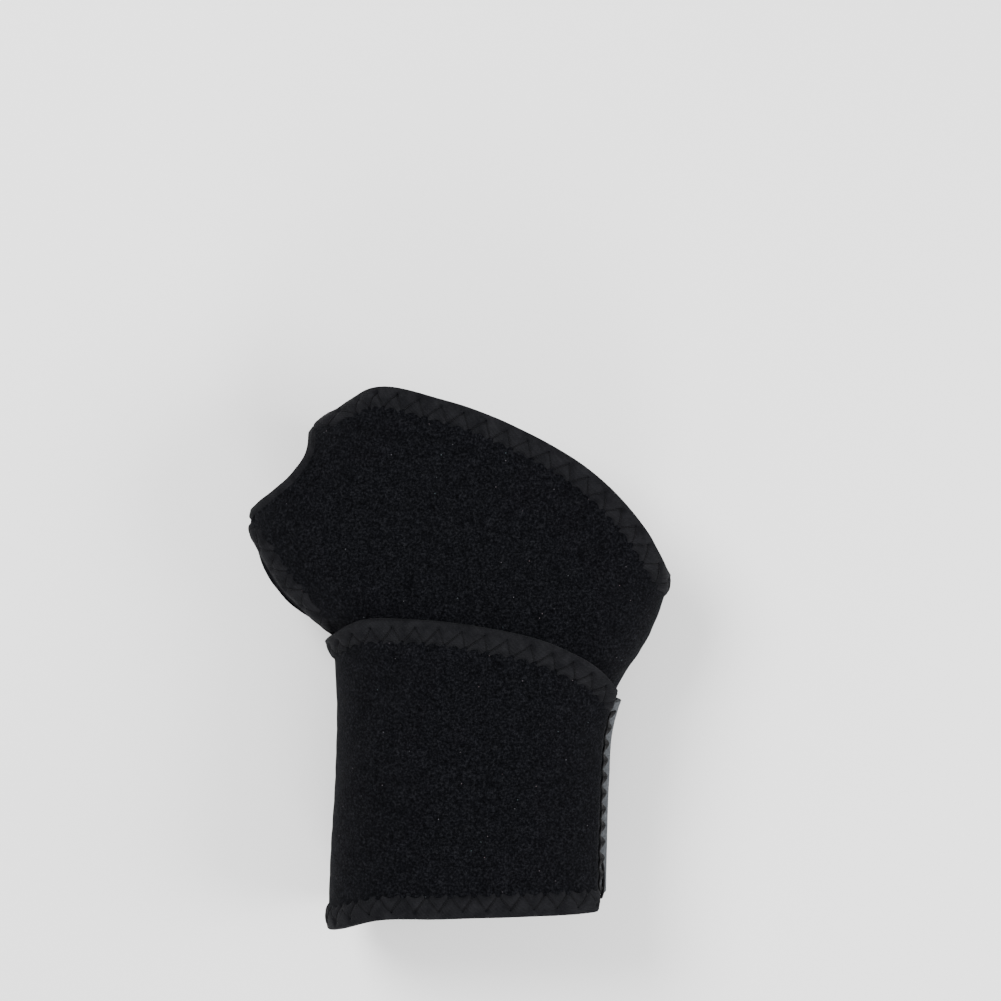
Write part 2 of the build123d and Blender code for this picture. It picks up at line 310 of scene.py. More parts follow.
def even(path, step):
    """Path resampled at even steps."""
    keep = np.concatenate([[True], np.linalg.norm(np.diff(path, axis=0), axis=1) > 1e-6])
    path = path[keep]
    length = np.concatenate([[0], np.cumsum(np.linalg.norm(np.diff(path, axis=0), axis=1))])
    count = max(int(round(length[-1] / step)), 2)
    where = np.linspace(0, length[-1], count + 1)
    return np.stack([np.interp(where, length, path[:, 0]), np.interp(where, length, path[:, 1])], -1)


def relaxed(path, reach):
    """Path with its kinks smoothed over the reach, its ends kept."""
    spread = int(reach / EDGE_STEP)
    kernel = np.exp(-0.5 * (np.arange(-3 * spread, 3 * spread + 1) / spread) ** 2)
    kernel /= kernel.sum()
    pad = 3 * spread
    result = np.empty_like(path)
    for axis in range(2):
        line = path[:, axis]
        before = 2 * line[0] - line[pad:0:-1]
        after = 2 * line[-1] - line[-2:-pad - 2:-1]
        result[:, axis] = np.convolve(np.concatenate([before, line, after]), kernel, mode="valid")
    return result


def edge_y(path, u):
    """y of an edge at distances along the band."""
    order = np.argsort(path[:, 0])
    return np.interp(u, path[order, 0], path[order, 1])


def edge_length(path):
    """Length of an edge in space."""
    return np.linalg.norm(np.diff(at(path[:, 0], path[:, 1]), axis=0), axis=1).sum()


def hole_edge():
    """Edge of the thumb hole, an oval seen from the thumb side."""
    ring = [2 * math.pi * k / HEM_SIDES for k in range(HEM_SIDES)]
    y = HOLE_Y + HOLE_HALF_LENGTH * np.cos(ring)
    z = HOLE_HALF_HEIGHT * np.sin(ring)
    sizes = smooth_through(STATIONS[:, 0], STATIONS[:, 1:], y)
    rise = np.where(z > 0, sizes[:, 2], sizes[:, 3])
    turn = np.sign(z) * np.degrees(np.arcsin(np.abs(z / rise) ** (OVAL_POWER / 2)))
    return np.stack([along(turn), y], -1)[::-1]


FOLD_TURN = height_turn(FOLD_HEIGHT, 1, FOLD_RISE + STRAP_OUTER, 360)
SEAM_TURN = height_turn(SEAM_HEIGHT, -1, SEAM_RISE + STRAP_OUTER, 540)
TAB_END_TURN = height_turn(TAB_LOW_HEIGHT, 1, TAB_DROP + TAB_OUTER, 540)
FOLD_U, SEAM_U, TAB_END_U = along(FOLD_TURN), along(SEAM_TURN), along(TAB_END_TURN)

WRAP_EDGE = relaxed(even(np.concatenate([
    edge_path(PALM_ARM_EDGE, "palm", FOLD_TURN, 180),
    edge_path(HAND_WRIST_EDGE, "top", 180, 0),
    edge_path(FLAP_EDGE, "flap", 0, 0),
    edge_path(HAND_FINGER_EDGE, "top", 0, 180),
    edge_path(PALM_FINGER_EDGE, "palm", 180, FOLD_TURN),
]), EDGE_STEP), WRAP_KINK_REACH)
STRAP_FINGER, STRAP_ARM = (
    relaxed(even(edge_path(edge, "strap", start, end), EDGE_STEP), STRAP_KINK_REACH)
    for edge, start, end in (
        (STRAP_FINGER_EDGE, FOLD_TURN, SEAM_TURN), (STRAP_ARM_EDGE, SEAM_TURN, FOLD_TURN),
    )
)
TIP = int(np.argmin(WRAP_EDGE[:, 0]))
WRAP_LOW, WRAP_HIGH = WRAP_EDGE[:TIP + 1], WRAP_EDGE[TIP:]
WRAP_START = WRAP_EDGE[TIP, 0] + TIP_INSET


# ---------------------------------------------------------------- meshes
def make_object(name, points, faces, smooth_angle=40):
    """Mesh object from points in millimetres, smooth except across sharp edges.

    What would reach into the floor is pressed flat on it instead.
    """
    points = np.array(points, float)
    low = points[:, 2] < PRESSED_HEIGHT
    points[low, 2] = PRESSED_HEIGHT * np.exp(points[low, 2] / PRESSED_HEIGHT - 1)
    mesh = bpy.data.meshes.new(name)
    mesh.from_pydata((points * MM).tolist(), [], [list(map(int, f)) for f in faces])
    mesh.validate()
    mesh.update()
    built = bmesh.new()
    built.from_mesh(mesh)
    bmesh.ops.remove_doubles(built, verts=built.verts, dist=1e-7)
    bmesh.ops.recalc_face_normals(built, faces=built.faces)
    for face in built.faces:
        face.smooth = True
    for edge in built.edges:
        if len(edge.link_faces) == 2 and edge.calc_face_angle(0) > math.radians(smooth_angle):
            edge.smooth = False
    built.to_mesh(mesh)
    built.free()
    piece = bpy.data.objects.new(name, mesh)
    bpy.context.scene.collection.objects.link(piece)
    return piece


def closed_grid(outer, inner):
    """Points and faces of a closed sheet between two grids of points."""
    rows, columns = outer.shape[:2]
    count = rows * columns
    points = np.concatenate([outer.reshape(-1, 3), inner.reshape(-1, 3)])
    index = np.arange(count).reshape(rows, columns)
    a, b = index[:-1, :-1].ravel(), index[:-1, 1:].ravel()
    c, d = index[1:, 1:].ravel(), index[1:, :-1].ravel()
    faces = [*zip(a, b, c, d), *zip(d + count, c + count, b + count, a + count)]
    rim = np.concatenate([index[0, :], index[1:, -1], index[-1, -2::-1], index[-2:0:-1, 0]])
    following = np.roll(rim, -1)
    faces += [*zip(following, rim, rim + count, following + count)]
    return points, faces


def skin(grid, closed=False):
    """Points and faces of a skin over a row of rings, capped unless the row closes on itself."""
    count, sides = grid.shape[:2]
    index = np.arange(count * sides).reshape(count, sides)
    following = np.roll(index, -1, 0) if closed else index[1:]
    base = index if closed else index[:-1]
    faces = []
    for k in range(sides):
        n = (k + 1) % sides
        faces += [*zip(base[:, k], following[:, k], following[:, n], base[:, n])]
    if not closed:
        faces += [tuple(index[0][::-1]), tuple(index[-1])]
    return grid.reshape(-1, 3), faces


def pressed(u):
    """How thick the strap still is near the seam of the tab, where stitching flattens it."""
    t = np.clip((SEAM_U - u) / STRAP_PRESS_REACH, 0, 1)
    return STRAP_PRESSED + (1 - STRAP_PRESSED) * t * t * (3 - 2 * t)


def squeezed(height, u, squeeze):
    """Height from the outer face, once the laminate is pressed down onto its inner face."""
    if squeeze is None:
        return np.broadcast_to(height, u.shape)
    return -LAMINATE + (LAMINATE + height) * squeeze(u)


def band_sheet(name, start_u, end_u, low, high, top, bottom, squeeze=None):
    """Closed sheet of the band between two depths below its outer face."""
    columns = int(round((end_u - start_u) / GRID))
    u = np.linspace(start_u, end_u, columns + 1)
    low_y = edge_y(low, u) + BINDING
    high_y = np.maximum(edge_y(high, u) - BINDING, low_y + LEAST_WIDTH)
    rows = int(round(np.max(high_y - low_y) / GRID))
    share = np.linspace(0, 1, rows + 1)[:, None]
    y = low_y + (high_y - low_y) * share
    u = np.broadcast_to(u, y.shape)
    point, normal = cloth_face(u, y)
    outer, inner = (point + normal * squeezed(-depth, u, squeeze)[..., None] for depth in (top, bottom))
    return make_object(name, *closed_grid(outer, inner))


def cut_thumb_hole(piece):
    """Open the thumb hole in a sheet, its edge inside the hem."""
    sides = HOLE_CUT_SIDES
    ring = [
        (HOLE_Y + (HOLE_HALF_LENGTH + BINDING) * math.cos(a),
         AXIS_HEIGHT + (HOLE_HALF_HEIGHT + BINDING) * math.sin(a))
        for a in (2 * math.pi * k / sides for k in range(sides))
    ]
    points = [(x, y, z) for x in HOLE_CUT_X for y, z in ring]
    faces = [tuple(range(sides)), tuple(range(2 * sides - 1, sides - 1, -1))]
    faces += [(k, (k + 1) % sides, (k + 1) % sides + sides, k + sides) for k in range(sides)]
    cutter = make_object("thumb_hole_cutter", points, faces)
    cut = piece.modifiers.new("hole", "BOOLEAN")
    cut.operation = "DIFFERENCE"
    cut.solver = "EXACT"
    cut.object = cutter
    bpy.context.view_layer.update()
    done = bpy.data.meshes.new_from_object(piece.evaluated_get(bpy.context.evaluated_depsgraph_get()))
    piece.modifiers.remove(cut)
    built = bmesh.new()
    built.from_mesh(done)
    # Faces with more than four sides would leave slivers along the cut when they are split in triangles
    bmesh.ops.poke(built, faces=[face for face in built.faces if len(face.verts) > 4])
    built.to_mesh(done)
    built.free()
    piece.data = done
    bpy.data.objects.remove(cutter)


def across_edge(path, closed, start):
    """Step in (u, y) per millimetre inward from an edge, and the distance along it."""
    point, normal, du, dy = frame_at(path[:, 0], path[:, 1])
    if closed:
        run = np.roll(point, -1, 0) - np.roll(point, 1, 0)
    else:
        run = np.gradient(point, axis=0)
    run /= np.linalg.norm(run, axis=1, keepdims=True)
    inward = np.cross(run, normal)
    inward /= np.linalg.norm(inward, axis=1, keepdims=True)
    e, f, g = (du * du).sum(1), (du * dy).sum(1), (dy * dy).sum(1)
    p, q = (du * inward).sum(1), (dy * inward).sum(1)
    scale = e * g - f * f
    step = np.stack([(g * p - f * q) / scale, (e * q - f * p) / scale], -1)
    gaps = np.linalg.norm(np.diff(point, axis=0), axis=1)
    return step, start + np.concatenate([[0], np.cumsum(gaps)])


# ---------------------------------------------------------------- bindings and threads
# In this part s is the distance along an edge, and b the distance inward from it
def zigzag_distance(s, b):
    """Distance to the zigzag of thread, and to its nearest needle hole."""
    half = ZIGZAG_PITCH / 2
    k = np.floor(s / half)
    line = np.full_like(s + b, 9.0)
    hole = np.full_like(s + b, 9.0)
    for shift in (-1, 0, 1):
        i = k + shift
        even_leg = np.mod(i, 2) < 0.5
        b0 = np.where(even_leg, ZIGZAG_NEAR, ZIGZAG_FAR)
        b1 = np.where(even_leg, ZIGZAG_FAR, ZIGZAG_NEAR)
        s0 = i * half
        ds, db = half, b1 - b0
        t = np.clip(((s - s0) * ds + (b - b0) * db) / (ds * ds + db * db), 0, 1)
        line = np.minimum(line, np.hypot(s - s0 - t * ds, b - b0 - t * db))
        hole = np.minimum(hole, np.hypot(s - s0, b - b0))
    return line, hole


def zigzag_wave(fine):
    """Swing of a zigzag between its needle rows, and how far it stands off the cloth between holes."""
    return np.abs(np.mod(fine, 2) - 1), (np.abs(np.mod(fine + 0.5, 1) - 0.5) * 2) ** 0.5


def puff(b, width, low, more):
    """Height of a tape above the cloth, rounded up between its two edges."""
    return low + more * np.sin(math.pi * np.clip(b / width, 0, 1)) ** 0.6


def dent(distance, depth, reach):
    """Depth that thread pulls into a tape at a distance from it."""
    return depth * np.exp(-(distance / reach) ** 2)


def binding_height(s, b):
    """Height of a sewn binding above the cloth: puffed up, held down by its thread."""
    line, hole = zigzag_distance(s, b)
    return puff(b, BINDING_WIDTH, 0.2, 0.75) - dent(line, 0.3, 0.55) - dent(hole, 0.72, 0.95)


def binding_leg(share, s, width, stitched):
    """Distance inward and height of a binding at a share of its width."""
    if stitched:
        b = share * (width + SCALLOP * np.cos(2 * math.pi * (s / ZIGZAG_PITCH - 0.5)))
        high = binding_height(s, b)
    else:
        b = share * (width + np.zeros_like(s))
        high = puff(b, width, 0.12, 0.42)
    reach, depth = TUCK
    fade = np.clip((1 - share) * width / reach, 0, 1)
    high = high * fade - depth * (1 - fade)
    reach, rim = FOLD_RIM
    fade = np.clip(share * width / reach, 0, 1)
    return b, high * fade + rim * (1 - fade)


def swept_binding(name, path, closed=False, width=BINDING_WIDTH, lip=BINDING_LIP, stitched=True,
                  squeeze=None, start=0.0):
    """Tape folded round an edge, as a closed mesh."""
    step, s = across_edge(path, closed, start)
    legs = [binding_leg(share, s, width, stitched) for share in np.linspace(1, 0, LEG_POINTS)]
    fold = []
    for angle in np.linspace(0, math.pi, FOLD_POINTS)[1:-1]:
        n = -LAMINATE / 2 + (LAMINATE / 2 + FOLD_SWELL) * math.cos(angle)
        fold.append((np.full_like(s, -lip * math.sin(angle)), np.full_like(s, n)))
    inner = [(b, -LAMINATE - high * INNER_SHARE) for b, high in legs[::-1]]
    rows = []
    for b, n in legs + fold + inner:
        place = path + step * b[:, None]
        point, normal = cloth_face(place[:, 0], place[:, 1])
        rows.append(point + normal * squeezed(n, place[:, 0], squeeze)[:, None])
    return make_object(name, *skin(np.stack(rows, 1), closed), smooth_angle=60)


def tube(points, normals, radius):
    """Points and faces of a round thread along a line."""
    run = np.gradient(points, axis=0)
    run /= np.linalg.norm(run, axis=1, keepdims=True)
    side = np.cross(run, normals)
    side /= np.linalg.norm(side, axis=1, keepdims=True)
    up = np.cross(side, run)
    angles = [2 * math.pi * k / THREAD_SIDES for k in range(THREAD_SIDES)]
    return skin(np.stack([points + radius * (side * math.cos(a) + up * math.sin(a)) for a in angles], 1))


def thread_object(name, strands):
    """Mesh object of several strands, each given as points and faces."""
    points, faces, count = [], [], 0
    for strand_points, strand_faces in strands:
        points.append(strand_points)
        faces += [tuple(i + count for i in face) for face in strand_faces]
        count += len(strand_points)
    return make_object(name, np.concatenate(points), faces, smooth_angle=80)


def zigzag_thread(name, path, squeeze=None, start=0.0):
    """Thread of the zigzag on a binding, on its outer face and its inner face."""
    step, s = across_edge(path, False, start)
    half = ZIGZAG_PITCH / 2
    fine = np.linspace(s[0] / half, s[-1] / half, int((s[-1] - s[0]) / half * LEG_STEPS))
    where = fine * half
    swing, lift = zigzag_wave(fine)
    b = ZIGZAG_FAR + (ZIGZAG_NEAR - ZIGZAG_FAR) * swing
    place, inward = (
        np.stack([np.interp(where, s, line[:, k]) for k in range(2)], -1) for line in (path, step)
    )
    place = place + inward * b[:, None]
    point, normal = cloth_face(place[:, 0], place[:, 1])
    high = binding_height(where, b) + THREAD_RADIUS * (0.1 + 0.9 * lift)
    return thread_object(name, [
        tube(point + normal * squeezed(n, place[:, 0], squeeze)[:, None], normal, THREAD_RADIUS)
        for n in (high, -LAMINATE - high * INNER_SHARE)
    ])


def seam_point(u, y):
    """Points and normals on the outside, from the strap over its end onto the tab."""
    on_strap, strap_normal = cloth_face(u, y)
    on_strap = on_strap + strap_normal * squeezed(0.0, u, pressed)[:, None]
    on_tab, tab_normal, _, _ = frame_at(u, y, TAB_OUTER)
    mix = np.clip((u - SEAM_U) / SEAM_STEP + 0.5, 0, 1)[:, None]
    return on_strap * (1 - mix) + on_tab * mix, strap_normal * (1 - mix) + tab_normal * mix


def seam_thread(name):
    """Black satin zigzag that holds the end of the strap down on the tab, and its loose end."""
    half = SEAM_PITCH / 2
    first, last = TAB_NEAR_Y + SEAM_INSET[0], TAB_FAR_Y - SEAM_INSET[1]
    fine = np.arange(0, math.floor((last - first) / half) + 1e-6, 1 / LEG_STEPS)
    swing, lift = zigzag_wave(fine)
    strands = []
    for inner, outer in SEAM_STRANDS:
        point, normal = seam_point(SEAM_U - inner + (inner + outer) * swing, first + fine * half)
        point = point + normal * (SEAM_THREAD_RADIUS * (0.3 + 0.8 * lift))[:, None]
        strands.append(tube(point, normal, SEAM_THREAD_RADIUS))
    knots = np.arange(len(SEAM_TAIL))
    tail = smooth_through(knots, SEAM_TAIL, np.linspace(0, knots[-1], SEAM_TAIL_POINTS))
    point, normal = seam_point(SEAM_U + tail[:, 0], tail[:, 1])
    strands.append(tube(point + normal * tail[:, 2:], normal, SEAM_TAIL_RADIUS))
    return thread_object(name, strands)


# ---------------------------------------------------------------- hook tab
def corner_cut(u, end_u):
    """How much the rounded corners take off each end of the tab at distances along the band."""
    past = np.clip(u - (end_u - TAB_CORNER), 0, TAB_CORNER)
    return TAB_CORNER - np.sqrt(TAB_CORNER ** 2 - past ** 2)


def tab_sheet(name, start_u, margin, top, bottom):
    """Closed sheet of the hook tab, with rounded free corners, between two depths."""
    end_u = TAB_END_U - margin
    columns = int(round((end_u - start_u) / TAB_GRID))
    u = np.linspace(start_u, end_u, columns + 1)
    cut = corner_cut(u, end_u)
    low_y, high_y = TAB_NEAR_Y + margin + cut, TAB_FAR_Y - margin - cut
    y = low_y + (high_y - low_y) * np.linspace(0, 1, TAB_ROWS)[:, None]
    point, normal, _, _ = frame_at(np.broadcast_to(u, y.shape), y, TAB_OUTER)
    return make_object(name, *closed_grid(point - normal * top, point - normal * bottom))


def hook_field(name):
    """Rows of small moulded hooks on the inner side of the tab, with their base."""
    depth = TAB_BACKING + HOOK_BASE
    overlap = 0.02
    points, faces = [], []
    for row, u in enumerate(np.arange(SEAM_U + HOOK_START, TAB_END_U - HOOK_MARGIN, HOOK_PITCH)):
        cut = corner_cut(u, TAB_END_U)
        y = np.arange(TAB_NEAR_Y + HOOK_MARGIN + cut, TAB_FAR_Y - HOOK_MARGIN - cut, HOOK_PITCH)
        # Every second row sits half a pitch further on and faces the other way
        y = y + (HOOK_PITCH / 2 if row % 2 else 0)
        way = 1 if row % 2 else -1
        point, normal, du, _ = frame_at(np.full_like(y, u), y, TAB_OUTER)
        along_u = du / np.linalg.norm(du, axis=1, keepdims=True)
        across_u = np.cross(normal, along_u)
        for p, n, a, c in zip(point, normal, along_u, across_u):
            start = len(points)
            for reach, height, w in HOOK_SHAPE:
                centre = p - n * (depth + height) + a * way * reach
                points += [
                    centre + c * w * i + a * w * 0.7 * j for i, j in ((-1, -1), (1, -1), (1, 1), (-1, 1))
                ]
            for ring in range(start, len(points) - 4, 4):
                for k in range(4):
                    q, r = ring + k, ring + (k + 1) % 4
                    faces.append((q, r, r + 4, q + 4))
            faces.append(tuple(start + k for k in (3, 2, 1, 0)))
            faces.append(tuple(range(len(points) - 4, len(points))))
    base = tab_sheet(
        name + "_base", SEAM_U + HOOK_BASE_START, HOOK_BASE_MARGIN, TAB_BACKING - overlap, depth + overlap)
    hooks = make_object(name, points, faces, smooth_angle=50)
    with bpy.context.temp_override(active_object=hooks, selected_editable_objects=[hooks, base]):
        bpy.ops.object.join()
    return hooks


# ---------------------------------------------------------------- materials
def node(tree, kind, **values):
    """Node with its sockets and settings given by name."""
    made = tree.nodes.new(kind)
    for key, value in values.items():
        if key in made.inputs:
            made.inputs[key].default_value = value
        else:
            setattr(made, key, value)
    return made


def new_material(name, colour, roughness, specular, sheen=0.0, sheen_roughness=0.5, sheen_tint=(1, 1, 1)):
    """Principled material with its constant values set on the shader itself.

    colour is the mean one; paint() then puts the detail over it.
    """
    material = bpy.data.materials.new(name)
    material.use_nodes = True
    shader = material.node_tree.nodes["Principled BSDF"]
    shader.inputs["Base Color"].default_value = (*colour, 1)
    shader.inputs["Roughness"].default_value = roughness
    shader.inputs["Sheen Weight"].default_value = sheen
    shader.inputs["Sheen Roughness"].default_value = sheen_roughness
    shader.inputs["Sheen Tint"].default_value = (*sheen_tint, 1)
    shader.inputs["Specular IOR Level"].default_value = specular
    return material, material.node_tree, shader


def position(tree):
    """Object position in metres."""
    return node(tree, "ShaderNodeTexCoord").outputs["Object"]


def noise(tree, vector, scale, detail=3.0, roughness=0.6):
    made = node(tree, "ShaderNodeTexNoise", Scale=scale, Detail=detail, Roughness=roughness)
    tree.links.new(vector, made.inputs["Vector"])
    return made.outputs["Fac"]


def wave(tree, vector, bands, scale, distortion, detail=2.0, detail_scale=1.0):
    made = node(
        tree, "ShaderNodeTexWave", Scale=scale, Distortion=distortion, Detail=detail, bands_direction=bands)
    made.inputs["Detail Scale"].default_value = detail_scale
    tree.links.new(vector, made.inputs["Vector"])
    return made.outputs["Fac"]


def cells(tree, vector, scale):
    made = node(tree, "ShaderNodeTexVoronoi", Scale=scale)
    tree.links.new(vector, made.inputs["Vector"])
    return made.outputs


def ramp(tree, factor, *stops):
    """Colour read off between stops, each a place with a colour or a grey."""
    made = node(tree, "ShaderNodeValToRGB")
    band = made.color_ramp
    while len(band.elements) < len(stops):
        band.elements.new(0.5)
    for element, (place, colour) in zip(band.elements, stops):
        element.position = place
        element.color = (*colour, 1) if hasattr(colour, "__len__") else (colour, colour, colour, 1)
    tree.links.new(factor, made.inputs["Fac"])
    return made.outputs["Color"]


def blended(tree, kind, factor, first, second):
    """Two colours mixed, each of the three inputs a socket or a value."""
    made = node(tree, "ShaderNodeMix", data_type="RGBA", blend_type=kind)
    for name, value in (("Factor", factor), ("A", first), ("B", second)):
        wanted = "VALUE" if name == "Factor" else "RGBA"
        socket = next(i for i in made.inputs if i.name == name and i.type == wanted)
        if hasattr(value, "is_linked"):
            tree.links.new(value, socket)
        else:
            socket.default_value = value
    return next(o for o in made.outputs if o.type == "RGBA")


def paint(tree, shader, colour):
    tree.links.new(colour, shader.inputs["Base Color"])


def bumped(tree, shader, *layers):
    """Bump from several height fields, each with its depth in metres."""
    before = None
    for height, depth in layers:
        made = node(tree, "ShaderNodeBump", Strength=1.0, Distance=depth)
        tree.links.new(height, made.inputs["Height"])
        if before is not None:
            tree.links.new(before, made.inputs["Normal"])
        before = made.outputs["Normal"]
    tree.links.new(before, shader.inputs["Normal"])


def pile_material():
    """Brushed loop pile: matted tufts, fine fibre grain and a few specks of lint."""
    material, tree, shader = new_material(
        "loop_pile_black", (0.003, 0.003, 0.004), 0.95, 0.03, 0.02, 0.4, (0.62, 0.64, 0.7))
    place = position(tree)
    tufts = noise(tree, place, 1500, 4, 0.75)
    grain = noise(tree, place, 6500, 2, 0.6)
    matting = noise(tree, place, 320, 4, 0.7)
    ground = ramp(tree, tufts, (0.34, (0.0004, 0.0004, 0.0007)), (0.5, (0.003, 0.0032, 0.0043)),
                  (0.66, (0.0115, 0.0118, 0.014)))
    ground = blended(tree, "MULTIPLY", 0.6, ground, ramp(tree, matting, (0.35, 0.4), (0.65, 1.0)))
    # Lint: the middles of a few cells, picked at random by place
    cell = cells(tree, place, 520.0)
    lint = ramp(tree, cell["Distance"], (0.0, 1.0), (0.055, 1.0), (0.085, 0.0), (1.0, 0.0))
    chosen = node(tree, "ShaderNodeTexWhiteNoise", noise_dimensions="3D")
    tree.links.new(cell["Color"], chosen.inputs["Vector"])
    rare = ramp(tree, chosen.outputs["Value"], (0.0, 0.0), (0.8, 0.0), (0.82, 1.0), (1.0, 1.0))
    specks = blended(tree, "MULTIPLY", 1.0, lint, rare)
    speck_colour = ramp(tree, chosen.outputs["Value"], (0.82, (0.08, 0.08, 0.09)),
                        (0.91, (0.07, 0.05, 0.055)), (1.0, (0.045, 0.065, 0.07)))
    paint(tree, shader, blended(tree, "MIX", specks, ground, speck_colour))
    bumped(tree, shader, (matting, 0.0004), (tufts, 0.0004), (grain, 0.00015))
    return material


def knit_material(name, light, dark, rib):
    """Fine knit, with ribs a fraction of a millimetre apart."""
    material, tree, shader = new_material(name, light, 0.85, 0.05, 0.015, 0.35, (0.7, 0.72, 0.78))
    place = position(tree)
    ribs = wave(tree, place, "DIAGONAL", rib, 3.0, 2.0, 2.0)
    cross = wave(tree, place, "Y", rib * 1.3, 2.0, 1.0)
    blotch = noise(tree, place, 260, 4, 0.65)
    fibre = noise(tree, place, 2600, 2, 0.6)
    ground = ramp(tree, blotch, (0.3, dark), (0.7, light))
    paint(tree, shader, blended(tree, "MULTIPLY", 0.25, ground, ramp(tree, ribs, (0.0, 0.5), (1.0, 1.0))))
    bumped(tree, shader, (blotch, 0.00025), (ribs, 0.00007), (cross, 0.00006), (fibre, 0.0001))
    return material


def woven_material():
    """Grey nylon tape: tight weave with a slight shine."""
    material, tree, shader = new_material("woven_tape_grey", (0.06, 0.064, 0.07), 0.75, 0.06)
    place = position(tree)
    warp, weft = wave(tree, place, "Y", 430.0, 0.6), wave(tree, place, "Z", 520.0, 0.6)
    weave = blended(tree, "MULTIPLY", 1.0, warp, weft)
    blotch = noise(tree, place, 700, 4, 0.7)
    ground = ramp(tree, blotch, (0.25, (0.033, 0.036, 0.04)), (0.55, (0.065, 0.07, 0.077)),
                  (0.85, (0.11, 0.117, 0.127)))
    paint(tree, shader, blended(tree, "MULTIPLY", 0.55, ground, ramp(tree, weave, (0.0, 0.4), (0.8, 1.0))))
    bumped(tree, shader, (weave, 0.00022), (blotch, 0.0002))
    return material


def hook_material():
    """Grey moulded nylon."""
    material, tree, shader = new_material("hook_nylon_grey", (0.085, 0.09, 0.098), 0.38, 0.5)
    place = position(tree)
    paint(tree, shader, ramp(
        tree, noise(tree, place, 900, 3), (0.3, (0.06, 0.064, 0.07)), (0.7, (0.11, 0.116, 0.126))))
    bumped(tree, shader, (noise(tree, place, 3000, 2), 0.00005))
    return material


def thread_material():
    """Black sewing thread with its twist."""
    material, tree, shader = new_material("sewing_thread_black", (0.003, 0.003, 0.0035), 0.7, 0.08)
    twist = wave(tree, position(tree), "DIAGONAL", 900.0, 1.0)
    paint(tree, shader, ramp(tree, twist, (0.0, (0.0015, 0.0015, 0.002)), (1.0, (0.005, 0.005, 0.006))))
    bumped(tree, shader, (twist, 0.00008))
    return material


def foam_material():
    """Black foam with its open cells."""
    material, tree, shader = new_material("foam_black", (0.02, 0.02, 0.02), 0.85, 0.25)
    depth = cells(tree, position(tree), 1800.0)["Distance"]
    paint(tree, shader, ramp(tree, depth, (0.0, (0.008, 0.008, 0.008)), (0.5, (0.03, 0.03, 0.031))))
    bumped(tree, shader, (depth, 0.0002))
    return material


PILE = pile_material()
BINDING_KNIT = knit_material("binding_knit_black", (0.0095, 0.0096, 0.011), (0.0035, 0.0036, 0.0045), 480.0)
JERSEY = knit_material("lining_jersey_black", (0.011, 0.011, 0.0125), (0.007, 0.007, 0.008), 620.0)
WOVEN = woven_material()
HOOKS = hook_material()
THREAD = thread_material()
FOAM_MATERIAL = foam_material()


# ---------------------------------------------------------------- pieces
def finish_piece(piece, material, nodes, bodies):
    """Give a piece its material, hide the CAD nodes it stands for, and tie it to the body it moves with; a
    piece shared by two bodies only has its transform baked.
    """
    piece.data.materials.clear()
    piece.data.materials.append(material)
    if nodes:
        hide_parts(*nodes)
    if len(bodies) == 1:
        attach(piece, bodies[0])
    else:
        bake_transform(piece)


# The strap turns up off the palm band over the thumb-side corner of the wrist
FOLD_BEND = ("wrap", "strap", (-0.038, 0, 0.0312), (-0.025, 0, 0.0455))
# The tab bends where it leaves the end of the strap
SEAM_POINT = at(SEAM_U, SEAM_MIDDLE_Y)
SEAM_NORMAL = frame_at(np.array([SEAM_U]), np.array([SEAM_MIDDLE_Y]))[1][0]
SEAM_DOWN = np.cross(SEAM_RUN, SEAM_NORMAL)
SEAM_BEND = (
    "strap", "tab",
    tuple((SEAM_POINT - SEAM_BEND_REACH[0] * SEAM_DOWN) * MM),
    tuple((SEAM_POINT + SEAM_BEND_REACH[1] * SEAM_DOWN) * MM),
)

LAYERS = {
    "cover": (0.0, COVER, PILE, "cover_pile"),
    "foam": (COVER, COVER + FOAM, FOAM_MATERIAL, "foam"),
    "lining": (COVER + FOAM, LAMINATE, JERSEY, "lining_jersey"),
}
for layer, (top, bottom, material, slot) in LAYERS.items():
    wrap = band_sheet(f"wrap_{layer}_cloth", WRAP_START, FOLD_U, WRAP_LOW, WRAP_HIGH, top, bottom)
    cut_thumb_hole(wrap)
    finish_piece(wrap, material, [f"hand_{layer}", f"palm_{layer}"], ["wrap"])

    strap = band_sheet(f"strap_{layer}_cloth", FOLD_U, SEAM_U, STRAP_ARM, STRAP_FINGER, top, bottom, pressed)
    finish_piece(strap, material, [f"strap_{layer}"], FOLD_BEND)

wrap_binding = swept_binding("wrap_edge_binding", WRAP_EDGE)
finish_piece(wrap_binding, BINDING_KNIT, [
    "hand_finger_binding", "hand_wrist_binding", "flap_binding", "palm_finger_binding", "palm_arm_binding",
], ["wrap"])
finish_piece(zigzag_thread("wrap_edge_thread", WRAP_EDGE), THREAD, [], ["wrap"])

# The stitches of the strap's edges carry on from those of the palm band
for name, path, cad, start in (
    ("strap_finger_edge", STRAP_FINGER, "strap_finger_binding", edge_length(WRAP_EDGE)),
    ("strap_arm_edge", STRAP_ARM, "strap_arm_binding", -edge_length(STRAP_ARM)),
):
    tape = swept_binding(f"{name}_binding", path, squeeze=pressed, start=start)
    finish_piece(tape, BINDING_KNIT, [cad], FOLD_BEND)
    thread = zigzag_thread(f"{name}_thread", path, squeeze=pressed, start=start)
    finish_piece(thread, THREAD, [], FOLD_BEND)

hem = swept_binding("thumb_hole_hem_cloth", hole_edge(), True, HEM_WIDTH, HEM_LIP, stitched=False)
finish_piece(hem, BINDING_KNIT, ["thumb_hole_hem"], ["wrap"])

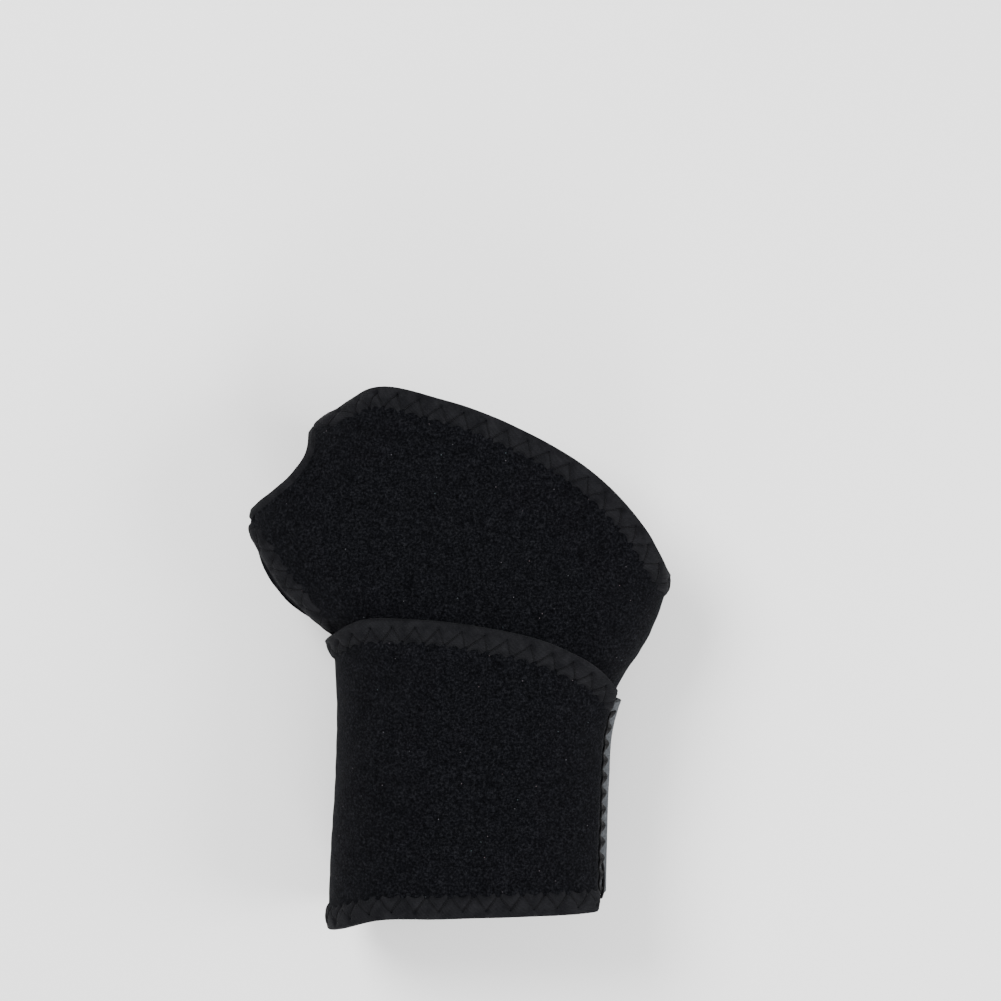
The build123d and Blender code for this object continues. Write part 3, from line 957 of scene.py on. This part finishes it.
backing = tab_sheet("tab_backing_tape", SEAM_U - TAB_UNDER_STRAP, 0.0, 0.0, TAB_BACKING)
finish_piece(backing, WOVEN, ["tab_backing"], SEAM_BEND)
finish_piece(hook_field("tab_hook_field"), HOOKS, ["tab_hooks"], SEAM_BEND)
finish_piece(seam_thread("tab_seam_thread"), THREAD, ["tab_stitching"], SEAM_BEND)


# ---------------------------------------------------------------- floor, light and camera, in metres
BRACE_MIDDLE = (0.0, 0.035, 0.02)
VIEW_CENTRE = (0.0083, 0.0783)
VIEW_WIDTH = 0.2803      # what the camera sees across, at the height of the brace's axis
FLOOR_SIZE = 6
DAYLIGHT = 0.82


def floor():
    bpy.ops.mesh.primitive_plane_add(size=FLOOR_SIZE, location=(0, 0, 0))
    plane = bpy.context.object
    plane.name = "floor"
    material, tree, shader = new_material("floor_pale", (0.92, 0.92, 0.92), 0.9, 0.1)
    paint(tree, shader, ramp(tree, noise(tree, position(tree), 6, 2), (0.0, 0.9), (1.0, 0.94)))
    plane.data.materials.append(material)


def area_light(name, place, size, power):
    """Round soft light aimed at the brace."""
    data = bpy.data.lights.new(name, "AREA")
    data.shape = "DISK"
    data.size = size
    data.energy = power
    lamp = bpy.data.objects.new(name, data)
    bpy.context.scene.collection.objects.link(lamp)
    lamp.location = place
    direction = np.array(BRACE_MIDDLE) - np.array(place)
    lamp.rotation_euler = Vector(direction).to_track_quat("-Z", "Y").to_euler()


def studio():
    """Even white light from all round."""
    world = bpy.data.worlds.new("studio")
    world.use_nodes = True
    world.node_tree.nodes["Background"].inputs["Color"].default_value = (1, 1, 1, 1)
    world.node_tree.nodes["Background"].inputs["Strength"].default_value = DAYLIGHT
    bpy.context.scene.world = world


def camera():
    """Straight down, with the fingers' side of the brace at the top of the picture."""
    data = bpy.data.cameras.new("camera")
    data.lens = 100
    data.sensor_width = 36
    lens = bpy.data.objects.new("camera", data)
    bpy.context.scene.collection.objects.link(lens)
    lens.location = (*VIEW_CENTRE, AXIS_HEIGHT * MM + VIEW_WIDTH * data.lens / data.sensor_width)
    lens.rotation_euler = (0, 0, 0)
    bpy.context.scene.camera = lens


floor()
area_light("key", (-0.5, 0.5, 0.8), 0.5, 16)
area_light("fill", (0.8, -0.1, 0.55), 0.6, 12)
area_light("rim", (0.1, -0.9, 0.5), 0.5, 7)
studio()
camera()
